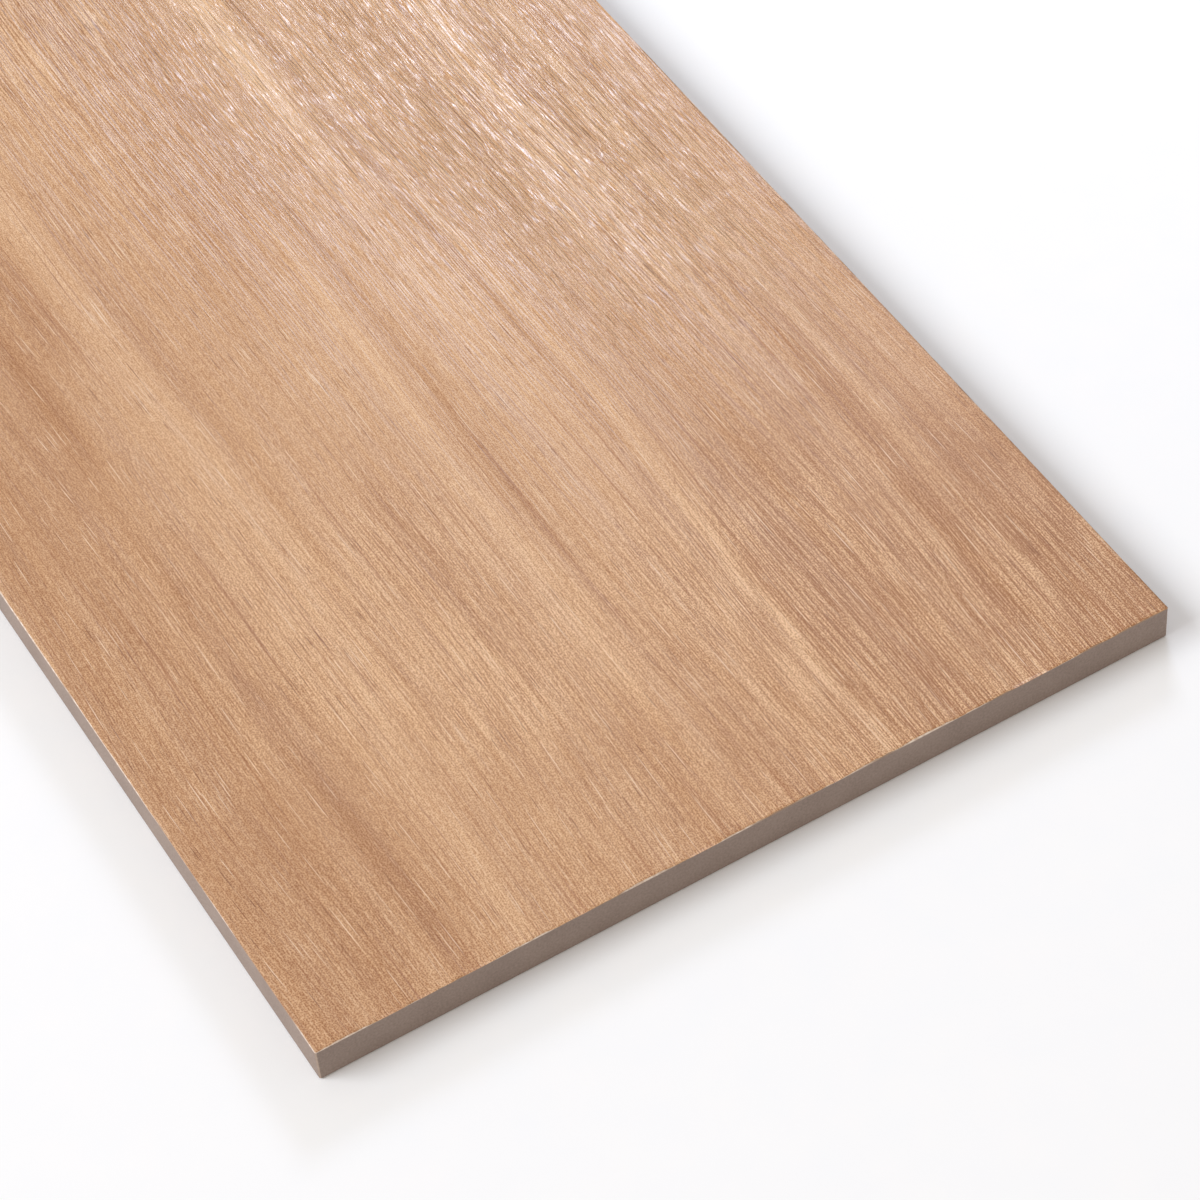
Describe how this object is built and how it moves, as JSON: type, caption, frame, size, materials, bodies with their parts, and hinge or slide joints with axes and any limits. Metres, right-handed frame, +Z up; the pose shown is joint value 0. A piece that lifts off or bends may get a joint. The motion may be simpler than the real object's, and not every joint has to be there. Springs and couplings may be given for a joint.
{
  "type": "wood look porcelain plank tile",
  "caption": "Long flat porcelain floor plank with an embossed wood grain face, fine bevelled edges and a keyed back for adhesive.",
  "frame": {"origin": "centre of the bed face, which lies on the floor", "axes": "+X along the plank, +Y across it, +Z up out of the printed face"},
  "size_m": [1.2, 0.2, 0.009],
  "materials": {
    "glazed_porcelain": "satin glaze over a printed wood grain, bare fired body on the edges and back"
  },
  "bodies": {
    "root": {"plank_tile": "glazed_porcelain"}
  },
  "joints": []
}
